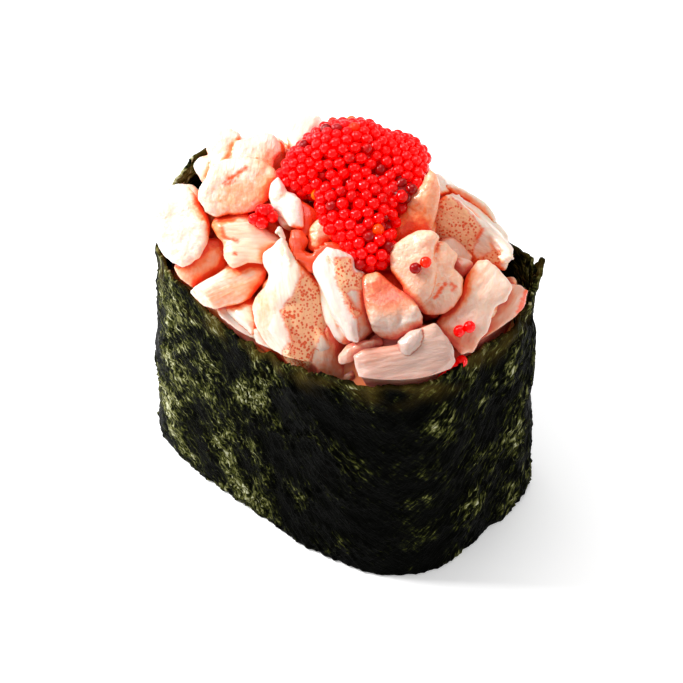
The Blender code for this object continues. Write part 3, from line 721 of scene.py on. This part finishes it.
def skin_cover(points, outline, fade):
    """How fully skin covers each point, from 0 to 1, with an uneven edge this many mm wide."""
    sideways = np.cross((0, 0, 1), heap_front)
    sideways /= np.linalg.norm(sideways)
    plane = np.array((sideways, np.cross(heap_front, sideways))).T
    spots, corners = points / MM @ plane, np.array(outline) @ plane
    nearest, inside = np.full(len(points), 99.0), np.zeros(len(points), bool)
    for a, b in zip(corners, np.roll(corners, -1, axis=0)):
        run = b - a
        share = np.clip((spots - a) @ run / (run @ run), 0, 1)
        nearest = np.minimum(nearest, np.linalg.norm(spots - a - share[:, None] * run, axis=1))
        crosses = (a[1] > spots[:, 1]) != (b[1] > spots[:, 1])
        level = a[0] + (spots[:, 1] - a[1]) * run[0] / (run[1] or 1e-9)
        inside ^= crosses & (spots[:, 0] < level)
    depth = (points / MM - np.array(outline).mean(axis=0)) @ heap_front
    uneven = np.array([noise.noise(Vector(p) / (0.6 * MM)) for p in points])
    cover = np.where(inside, nearest, -nearest) + 0.3 * uneven
    return np.clip(cover / fade + 0.5, 0, 1) * (np.abs(depth) < 4)


def long_axes(points):
    """The directions in which a piece is longest, middling and shortest, as rows."""
    spread = np.cov((points - points.mean(axis=0)).T)
    return np.linalg.eigh(spread)[1][:, ::-1].T


def middle_of(piece):
    return sum((v.co for v in piece.data.vertices), Vector()) / len(piece.data.vertices)


def slab(outline, thickness):
    """A cut slab of meat: this outline is its face, which bulges a little, and it tapers behind."""
    mesh = bpy.data.meshes.new("slab")
    mesh.from_pydata([[c * MM for c in corner] for corner in outline], [], [list(range(len(outline)))])
    if mesh.polygons[0].normal.dot(Vector(heap_front)) < 0:
        mesh.flip_normals()
    piece = placed("slab", mesh)
    inward = Vector(-heap_front * thickness * MM)
    middle = middle_of(piece)
    select_only(piece)
    bpy.ops.object.mode_set(mode="EDIT")
    bpy.ops.mesh.select_mode(type="FACE")
    bpy.ops.mesh.select_all(action="SELECT")
    bpy.ops.transform.resize(value=(1.04, 1.04, 1.04), center_override=middle)
    bpy.ops.mesh.extrude_region_move(TRANSFORM_OT_translate={"value": inward})
    bpy.ops.transform.resize(value=(0.85, 0.85, 0.85), center_override=middle + inward)
    bpy.ops.mesh.select_all(action="SELECT")
    bpy.ops.mesh.normals_make_consistent(inside=False)
    bpy.ops.mesh.select_all(action="DESELECT")
    bpy.ops.object.mode_set(mode="OBJECT")
    face = min(mesh.polygons, key=lambda p: (p.center - middle).length + 1 / len(p.vertices))
    face.select = True
    bpy.ops.object.mode_set(mode="EDIT")
    for rim, rise in ((0.35, 0.3), (0.9, 0.3)):
        bpy.ops.mesh.inset(thickness=rim * MM, depth=rise * MM)
    bpy.ops.object.mode_set(mode="OBJECT")
    return piece


def hang_down(piece, node):
    """Turns a piece at the back a little, and joins another under it that reaches down into the strip."""
    middle = middle_of(piece)
    outward = Vector((middle.x, middle.y, 0)).normalized()
    lower = start_from(node, "lower")
    for part, shift in ((piece, Vector()), (lower, outward * 1.2 * MM - Vector((0, 0, 3.4 * MM)))):
        turn = Matrix.Rotation(back_hand.uniform(-0.8, 0.8), 4, outward)
        part.data.transform(Matrix.Translation(middle + shift) @ turn @ Matrix.Translation(-middle))
    select_only(piece)
    lower.select_set(True)
    bpy.ops.object.join()


back_hand = random.Random(21)


def cut_meat(node, name):
    """The rough block for a CAD node: its slabs where they are listed, or else the node's own shape."""
    block = node.removeprefix("crab_")
    slabs = [slab(outline, thickness) for cut, thickness, outline in plates if cut == block]
    if not slabs:
        rough = start_from(node, name)
        if node.startswith("crab_back"):
            hang_down(rough, node)
        return rough
    behind = start_from(node, "behind")
    middle = middle_of(behind)
    back = Matrix.Translation(middle - Vector(heap_front) * 2.2 * MM)
    behind.data.transform(back @ Matrix.Scale(0.88, 4) @ Matrix.Translation(-middle))
    slabs.append(behind)
    select_only(slabs[0])
    for other in slabs:
        other.select_set(True)
    bpy.ops.object.join()
    slabs[0].name = slabs[0].data.name = name
    return slabs[0]


def keep_inside(points):
    """Moves points that would stand in the seaweed, or outside it below its edge, back inside it."""
    for i, (x, y, z) in enumerate(points):
        angle = math.atan2(y, x)
        if angle < strip_start:
            angle += math.tau
        above = z - strip_top(angle) - 0.4 * MM
        lean = inward_lean(angle) * MM * (z / strip_height) ** 2
        room = strip_outline(angle) - lean - 1.3 * MM + 1.2 * max(0, above)
        room = min(room, strip_outline(angle) + 0.8 * MM)
        reach = math.hypot(x, y)
        if reach > room:
            points[i, :2] *= room / reach


def drop_crumbs(piece):
    """Leaves out the loose crumbs into which a very slim sliver breaks up."""
    select_only(piece)
    bpy.ops.mesh.separate(type="LOOSE")
    lumps = sorted(bpy.context.selected_objects, key=lambda lump: len(lump.data.vertices))
    piece.data, lumps[-1].data = lumps[-1].data, piece.data
    for lump in lumps:
        if lump != piece and len(lump.data.vertices) < 0.04 * len(piece.data.vertices):
            bpy.data.objects.remove(lump)
    bpy.context.view_layer.objects.active = piece
    if len(bpy.context.selected_objects) > 1:
        bpy.ops.object.join()


def shape_meat(piece, name, seed):
    """Rounds a cut block, swells it to touch its neighbours, and draws its muscle fibres along its length."""
    work(piece, "REMESH", mode="VOXEL", voxel_size=voxel)
    drop_crumbs(piece)
    work(piece, "SMOOTH", factor=0.5, iterations=2)
    points = points_of(piece)
    normals = np.array([v.normal for v in piece.data.vertices])
    middle, axes = points.mean(axis=0), long_axes(points)
    local = (points - middle) @ axes.T / MM
    half = np.abs(local).max(axis=0)
    lift = np.empty(len(points))
    for i, (x, y, z) in enumerate(local):
        lump = ripple(x / 3.2, y / 2.4, z / 2.4 + 9 * seed)
        thread = 1 - abs(ripple(x / 7, y / 1.3 + 0.5 * lump, z / 1.3 + 9 * seed))
        fine = 1 - abs(ripple(x / 4, y / 0.5 + lump, z / 0.5 + 4 * seed))
        fleck = ripple(x / 0.8, y / 0.8, z / 0.8 + 5 * seed)
        torn = ease((abs(x) / half[0] - 0.75) / 0.25)
        lift[i] = 0.22 * lump + 0.22 * (thread - 0.8) + 0.07 * (fine - 0.8) + (0.03 + 0.14 * torn) * fleck
    points += normals * (lift * MM + touch)[:, None]
    keep_inside(points)
    piece.data.vertices.foreach_set("co", points.ravel())
    work(piece, "SMOOTH", factor=0.5, iterations=1)
    bpy.ops.object.shade_smooth()
    points = points_of(piece)
    put_attribute(piece, "fibre", (points - middle) @ axes.T / MM * (0.35, 2.4, 2.4) + seed)
    piece.data.materials.append(flesh)
    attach(piece, "root")
    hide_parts(name)
    return piece


def closeness(piece, around, reach):
    """How closely each point of a piece is shut in by what is round it, from 0 to 1."""
    glances = ((0, 0), (1.2, 0), (-0.6, 1.04), (-0.6, -1.04), (0.5, 0.9), (0.5, -0.9), (-1, 0))
    shut_in = np.zeros(len(piece.data.vertices))
    for i, vert in enumerate(piece.data.vertices):
        out = vert.normal
        side = out.orthogonal().normalized()
        other = out.cross(side)
        start = vert.co + out * 0.08 * MM
        for a, b in glances:
            gap = around.ray_cast(start, (out + a * side + b * other).normalized(), reach)[3]
            if gap is not None:
                shut_in[i] += (1 - gap / reach) / len(glances)
    return shut_in


def colour_meat(piece, block, around):
    """Writes how orange (its own tint, with painted shade in creases and lower down and painted light on lit
    faces), how greyed by painted shade, how skinned and how red each point of a piece is.
    """
    points = points_of(piece)
    share = np.hypot(points[:, 0] / roll_half.x, (points[:, 1] - heap_shift) / roll_half.y)
    surface = heap_foot + heap_rise * np.clip(1 - share**2, 0, 1) ** 0.8
    depth = np.clip((surface - points[:, 2]) / (8 * MM), 0, 1)
    # Painted shade: more orange deeper below the top of the heap and where neighbouring meat shuts a point
    # in.
    orange_tint_and_shade = warmth_and_shade.get(block, usual_warmth_and_shade) + 0.2 * depth + 1.8 * closeness(piece, around, 2.6 * MM)
    # More orange painted shade in the warm marks, and paler painted light in the pale marks.
    orange_tint_and_shade += 0.3 * paint(points, "warm_shade", block, 2.5) - 0.4 * paint(points, "painted_light", block, 2)
    put_attribute(piece, "orange_tint_and_shade", orange_tint_and_shade)
    # Painted shade: blocks are greyed towards the front corner of the roll, and in marked spots.
    front_shade = np.clip((points @ level_front / MM - 13) / 10, 0, 1)
    put_attribute(piece, "grey_shade", np.maximum(0.7 * front_shade, 0.45 * paint(points, "grey_shade", block, 2)))
    skinned = np.zeros(len(points))
    for skinned_block, outline in skins:
        if skinned_block == block:
            skinned = np.maximum(skinned, skin_cover(points, outline, 0.35))
    torn_edge = 2.4 * skinned * (1 - skinned)
    put_attribute(piece, "skin", skinned)
    put_attribute(piece, "red", np.maximum(torn_edge, paint(points, "red", block, 0.3)))


def as_tree(pieces):
    corners, faces = [], []
    for piece in pieces:
        faces += [[i + len(corners) for i in p.vertices] for p in piece.data.polygons]
        corners += [v.co.copy() for v in piece.data.vertices]
    return bvhtree.BVHTree.FromPolygons(corners, faces)


crab_nodes = sorted(name for name in frame["nodes"] if name.startswith("crab_") and name != "crab_bed")
meat_pieces = {}
for seed, name in enumerate(crab_nodes):
    meat_pieces[name] = shape_meat(cut_meat(name, name.replace("crab_", "meat_")), name, seed)
meat_tree = as_tree(meat_pieces.values())
surroundings = as_tree([*meat_pieces.values(), frame["nodes"]["seaweed_band"], frame["nodes"]["crab_bed"]])
for name, piece in meat_pieces.items():
    colour_meat(piece, name.removeprefix("crab_"), surroundings)

packed_meat = start_from("crab_bed", "packed_meat")
work(packed_meat, "REMESH", mode="VOXEL", voxel_size=0.55 * MM)
meat_lumps = bpy.data.textures.new("meat lumps", "CLOUDS")
meat_lumps.noise_scale = 2.4 * MM
work(packed_meat, "DISPLACE", texture=meat_lumps, texture_coords="LOCAL", strength=1.2 * MM, mid_level=0.6)
bpy.ops.object.shade_smooth()
# Painted shade: the packed meat, seen only down in the gaps between pieces, is made a deep orange.
put_attribute(packed_meat, "orange_tint_and_shade", np.full(len(packed_meat.data.vertices), 0.65))
packed_meat.data.materials.append(flesh)
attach(packed_meat, "root")
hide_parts("crab_bed")

# --- Roe -------------------------------------------------------------------------------------------------
# A spoonful of flying-fish roe: hundreds of firm, glossy, see-through red eggs that stick together in a heap
# on the crown of the meat and run down its front, with a few stray ones lying about.

egg = 1.62 * MM
egg_corners = 42
settling_rounds = 40  # in which points that are too close push each other apart


def spread_out(piece, spacing, seed):
    """Points packed about evenly over a piece's surface, and its outward direction at each."""
    mesh = piece.data
    mesh.calc_loop_triangles()
    corners = points_of(piece)
    triangles = np.array([t.vertices for t in mesh.loop_triangles])
    a, b, c = (corners[triangles[:, i]] for i in range(3))
    area = np.linalg.norm(np.cross(b - a, c - a), axis=1) / 2
    toss = np.random.default_rng(seed)
    count = int(area.sum() / (0.80 * spacing**2))
    pick = toss.choice(len(area), count, p=area / area.sum())
    u, v = toss.random(count), toss.random(count)
    over = u + v > 1
    u[over], v[over] = 1 - u[over], 1 - v[over]
    points = a[pick] + (b - a)[pick] * u[:, None] + (c - a)[pick] * v[:, None]
    tree = bvhtree.BVHTree.FromPolygons(corners.tolist(), triangles.tolist())
    for _ in range(settling_rounds):
        found = kdtree.KDTree(count)
        for i, point in enumerate(points):
            found.insert(point, i)
        found.balance()
        moved = points.copy()
        for i, point in enumerate(points):
            for other, j, gap in found.find_range(point, spacing):
                if j != i:
                    away = point - np.array(other)
                    moved[i] += 0.3 * (spacing - gap) * away / max(gap, 1e-7)
        points = np.array([tree.find_nearest(p)[0] for p in moved])
    return points, np.array([tree.find_nearest(p)[1] for p in points])


def egg_shape():
    bpy.ops.mesh.primitive_ico_sphere_add(subdivisions=2, radius=0.5)
    return bpy.context.object


def egg_places(points, seed):
    toss = random.Random(seed)
    places = []
    for point in points:
        size = [egg * toss.uniform(0.93, 1.07) for _ in range(3)]
        turned = Euler([toss.uniform(0, math.tau) for _ in range(3)]).to_matrix().to_4x4()
        places.append(Matrix.Translation(point) @ turned @ Matrix.Diagonal(size).to_4x4())
    return places


roe_red = bpy.data.materials.new("flying-fish roe")
nodes, links, shader = shader_of(roe_red)
shader.inputs["Roughness"].default_value = 0.1
shader.inputs["Specular IOR Level"].default_value = 0.32
# Painted glow: a faint red emission, standing for light shining through the eggs.
shader.inputs["Emission Color"].default_value = (1, 0, 0, 1)
shader.inputs["Emission Strength"].default_value = 0.08
shader.inputs["Subsurface Weight"].default_value = 0.35
shader.inputs["Subsurface Radius"].default_value = (1.0, 0.02, 0.01)
shader.inputs["Subsurface Scale"].default_value = 1.2 * MM
# Egg reds: the orange top stop is painted light shining through a few eggs, the darkest is painted shade for
# the eggs underneath.
reds_light_and_shade = ((0, (0.12, 0, 0)), (0.12, (1, 0, 0)), (0.94, (1, 0, 0)), (1, (1, 0.2, 0.004)))
links.new(ramp(from_attribute("egg"), *reds_light_and_shade), shader.inputs["Base Color"])


def finish_eggs(piece, seed, painted_brightness=1):
    """Gives every egg a red of its own; a low factor keeps them to the darker reds, as painted shade."""
    toss = np.random.default_rng(seed).random(len(piece.data.vertices) // egg_corners)
    put_attribute(piece, "egg", np.repeat(toss * painted_brightness, egg_corners))
    piece.data.materials.append(roe_red)
    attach(piece, "root")


roe_core = start_from("roe_heap", "roe_core")
work(roe_core, "REMESH", mode="VOXEL", voxel_size=0.5 * MM)
work(roe_core, "SMOOTH", factor=0.5, iterations=12)
work(roe_core, "DISPLACE", strength=-0.45 * egg, mid_level=0)
outer_points, _ = spread_out(roe_core, 0.98 * egg, 5)
work(roe_core, "DISPLACE", strength=-0.55 * egg, mid_level=0)
inner_points, _ = spread_out(roe_core, 1.02 * egg, 6)
work(roe_core, "DISPLACE", strength=-0.1 * egg, mid_level=0)
bpy.ops.object.shade_smooth()

# Painted shade: the core under the eggs is a very dark red, so the gaps between eggs read as shadow.
roe_shade_red = bpy.data.materials.new("painted shade inside the roe")
nodes, links, shader = shader_of(roe_shade_red)
shader.inputs["Roughness"].default_value = 0.4
tint = ramp(clouds(600), (0, (0.08, 0, 0)), (1, (0.35, 0.004, 0.002)))
links.new(tint, shader.inputs["Base Color"])
roe_core.data.materials.append(roe_shade_red)
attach(roe_core, "root")
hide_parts("roe_heap")

finish_eggs(scatter("roe_outer_eggs", egg_shape(), egg_places(outer_points, 7)), 8)
# The eggs underneath get only the darker reds: painted shade.
finish_eggs(scatter("roe_inner_eggs", egg_shape(), egg_places(inner_points, 9)), 10, 0.1)

# Stray eggs, each given by a point in mm close to the meat that it lies on.
strays = (
    (-8.6, -6.6, 43.6), (-9.5, -7.0, 41.8), (-7.0, -7.6, 43.7), (-7.7, -5.3, 42.9), (-6.1, -9.0, 43.5),
    (-5.3, -8.0, 44.1), (15.2, -3.5, 45.0), (15.4, -2.1, 45.1), (22.9, -3.4, 38.6), (23.3, -2.3, 38.9),
    (23.1, -7.2, 34.0), (23.4, -5.8, 34.2), (22.9, -3.8, 33.5), (4.3, 6.0, 37.6), (3.9, 10.7, 43.7),
    (5.1, 9.1, 42.9),
)
stray_points = []
clump, clump_depth = 6, 33.9 * MM  # the first six lie in one little heap, this far out along heap_front
outwards = Vector(heap_front)
for i, stray in enumerate(strays):
    under, lying_on, _, _ = meat_tree.ray_cast(Vector(stray) * MM + outwards * 5 * MM, -outwards)
    spot = under + 0.4 * egg * lying_on
    stray_points.append(spot)
    while i < clump and spot.dot(outwards) < clump_depth:
        spot = spot + outwards * 0.7 * egg
        stray_points.append(spot)
finish_eggs(scatter("roe_stray_eggs", egg_shape(), egg_places(stray_points, 11)), 12)

# --- Table, light and camera -----------------------------------------------------------------------------
# A white table under soft daylight from the left, seen from the roll's front corner.

bpy.ops.mesh.primitive_plane_add(size=3)
table = bpy.context.object
table.name = "table"
table_white = bpy.data.materials.new("white table")
nodes, links, shader = shader_of(table_white)
shader.inputs["Base Color"].default_value = (0.95, 0.95, 0.95, 1)
shader.inputs["Roughness"].default_value = 0.9
shader.inputs["Emission Color"].default_value = (1, 1, 1, 1)
shader.inputs["Emission Strength"].default_value = 0.3
shader.inputs["Specular IOR Level"].default_value = 0.1
table.data.materials.append(table_white)

world = bpy.data.worlds.new("daylight")
bpy.context.scene.world = world
world.use_nodes = True
world.node_tree.nodes["Background"].inputs["Color"].default_value = (1, 1, 1, 1)
world.node_tree.nodes["Background"].inputs["Strength"].default_value = 0.4

azimuth, elevation = math.radians(41), math.radians(44)
flat = math.cos(elevation)
towards = Vector((math.sin(azimuth) * flat, -math.cos(azimuth) * flat, math.sin(elevation)))
rightwards = Vector((math.cos(azimuth), math.sin(azimuth), 0))
upwards = towards.cross(rightwards)


def add_light(name, direction, distance, size, power):
    """A square light facing the roll's middle from a distance in metres."""
    lamp = bpy.data.lights.new(name, "AREA")
    lamp.size = size
    lamp.energy = power
    made = placed(name, lamp)
    made.location = Vector((0, 0, 25 * MM)) + direction.normalized() * distance
    made.rotation_euler = direction.to_track_quat("Z", "Y").to_euler()


level_back = Vector((-math.sin(azimuth), math.cos(azimuth), 0))
add_light("window", -rightwards + 0.2 * level_back + Vector((0, 0, 0.8)), 0.5, 0.15, 3.3)
add_light("fill", rightwards + 0.4 * towards, 0.5, 0.2, 0.45)
add_light("overhead", Vector((0, 0, 1)) + 0.3 * level_back, 0.6, 0.4, 1.8)

camera_distance = 0.6
camera = placed("camera", bpy.data.cameras.new("camera"))
camera.data.sensor_width = 36
camera.data.lens = 235.6
camera.data.clip_start = 0.05
aim = Vector((0, 0, 17 * MM)) + upwards * 2.08 * MM - rightwards * 0.34 * MM
facing = Matrix((rightwards, upwards, towards)).transposed().to_4x4()
camera.matrix_world = Matrix.Translation(aim + camera_distance * towards) @ facing
bpy.context.scene.camera = camera
bpy.context.scene.view_settings.view_transform = "Standard"
